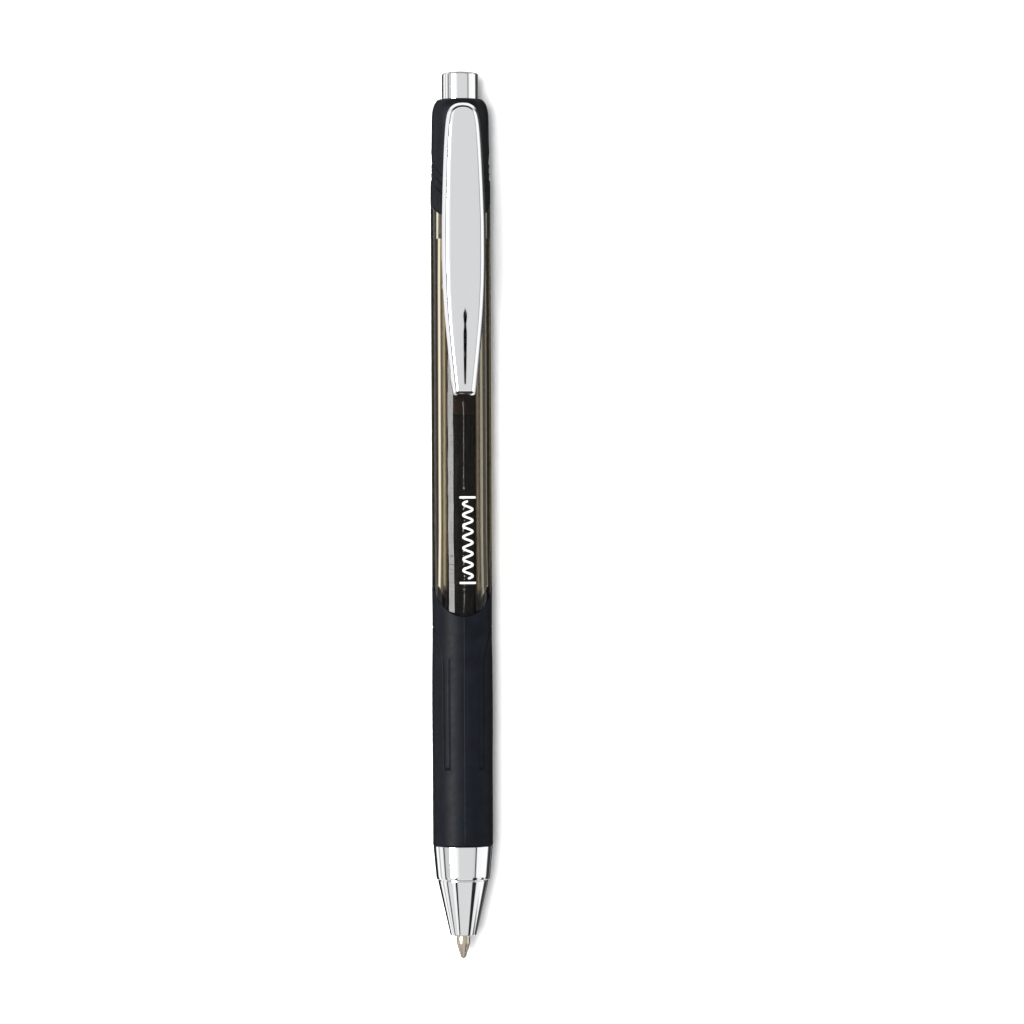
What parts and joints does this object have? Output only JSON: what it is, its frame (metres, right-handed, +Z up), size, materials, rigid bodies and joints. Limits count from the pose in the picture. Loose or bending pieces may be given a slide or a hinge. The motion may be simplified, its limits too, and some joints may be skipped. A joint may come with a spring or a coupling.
{
  "type": "gel pen",
  "caption": "Retractable gel pen with a rubber grip, chrome nose, clip and push button, and a smoke-tinted see-through barrel with its refill and cam inside.",
  "frame": {"origin": "under the middle of the pen's length, on the surface it lies on", "axes": "+Y along the pen from the point to the push button, +Z up through the clip, +X across"},
  "size_m": [0.01, 0.145, 0.013],
  "materials": {
    "smoke_plastic": "transparent smoke-brown moulded plastic, polished",
    "grip_rubber": "soft matte rubber",
    "chrome_trim": "bright mirror plating",
    "soft_touch_black": "satin soft-touch coat",
    "black_acetal": "low-sheen moulded acetal",
    "clear_tube": "translucent natural polypropylene",
    "gel_ink": "opaque black gel, wet",
    "follower_grease": "pale translucent grease",
    "natural_plastic": "natural polypropylene",
    "steel_point": "fine turned stainless steel",
    "carbide_ball": "polished tungsten carbide",
    "spring_steel": "bright drawn wire"
  },
  "bodies": {
    "barrel": {"barrel": "smoke_plastic", "grip_sleeve": "grip_rubber", "nose_cone": "chrome_trim", "rear_collar": "soft_touch_black", "cam_guide": "black_acetal", "return_spring": "spring_steel"},
    "clip": {"clip": "chrome_trim"},
    "button": {"push_button": "chrome_trim", "cam_plunger": "black_acetal"},
    "refill": {"refill_tube": "clear_tube", "refill_end_plug": "clear_tube", "ink_column": "gel_ink", "ink_follower": "follower_grease", "tip_holder": "natural_plastic", "ballpoint_tip": "steel_point"},
    "rotor": {"cam_rotor": "black_acetal"},
    "ball": {"writing_ball": "carbide_ball"}
  },
  "joints": [
    {"name": "button_press", "type": "slide", "parent": "barrel", "child": "button", "axis": [0, 1, 0], "range_m": [-0.0015, 0.0055]},
    {"name": "refill_slide", "type": "slide", "parent": "barrel", "child": "refill", "axis": [0, 1, 0], "range_m": [-0.0015, 0.0055], "deforming": ["return_spring"]},
    {"name": "rotor_turn", "type": "hinge", "parent": "refill", "child": "rotor", "pos_m": [0, 0.0415, 0.00493], "axis": [0, 1, 0], "continuous": true},
    {"name": "ball_roll", "type": "hinge", "parent": "refill", "child": "ball", "pos_m": [0, -0.07215, 0.00493], "axis": [1, 0, 0], "continuous": true},
    {"name": "clip_flex", "type": "hinge", "parent": "barrel", "child": "clip", "pos_m": [0, 0.0627, 0.00953], "axis": [-1, 0, 0], "range_deg": [0, 4], "stiffness_Nm_per_rad": 4, "springref_deg": -1.15}
  ],
  "couplings": [
    {"joint": "refill_slide", "follows": "button_press", "ratio": 1}
  ]
}
